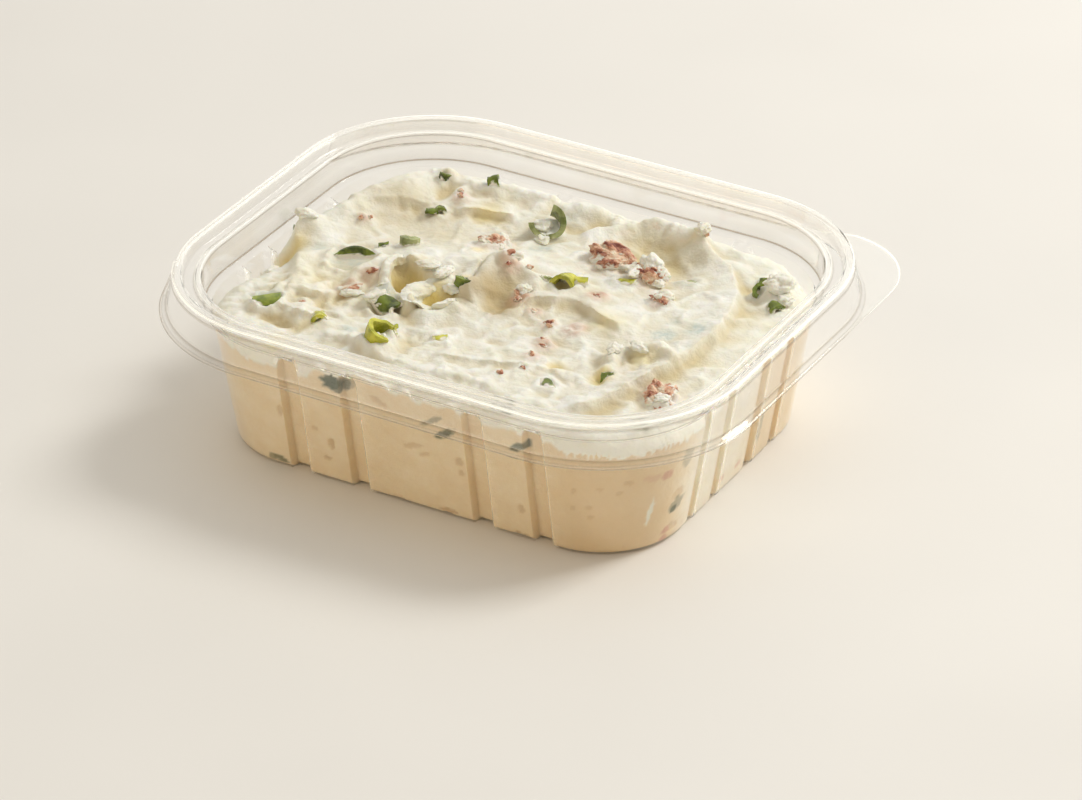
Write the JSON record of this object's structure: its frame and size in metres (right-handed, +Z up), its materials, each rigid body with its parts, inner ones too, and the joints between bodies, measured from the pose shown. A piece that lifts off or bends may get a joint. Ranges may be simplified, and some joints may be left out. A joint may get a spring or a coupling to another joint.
{
  "type": "tub of bacon cream cheese",
  "caption": "Clear formed deli tub with a corner pull tab, filled with spread cream cheese with bacon scraps and cut spring onion on top.",
  "frame": {"origin": "centre of the flat foot's underside, on the surface that the tub stands on", "axes": "+X along the tub's long side, towards the side beside the pull tab; +Y across the tub, with the pull tab at the +X +Y corner and the torn side at -X; +Z up"},
  "size_m": [0.1548, 0.1308, 0.0449],
  "materials": {
    "clear_plastic": "clear, glossy, thin formed sheet",
    "cream_cheese": "moist, soft sheen, with small torn edges and air flecks",
    "bacon": "moist cooked meat, pink to brown, smeared with cream",
    "spring_onion": "fresh, wet, dark to bright green"
  },
  "bodies": {
    "root": {"tub": "clear_plastic", "cream": "cream_cheese", "bacon_large_left": "bacon", "bacon_large_right": "bacon", "bacon_front_right": "bacon", "bacon_back": "bacon", "onion_ring": "spring_onion", "onion_cut": "spring_onion", "onion_fold": "spring_onion", "onion_oval": "spring_onion", "onion_dome": "spring_onion", "onion_leaf": "spring_onion"}
  },
  "joints": []
}
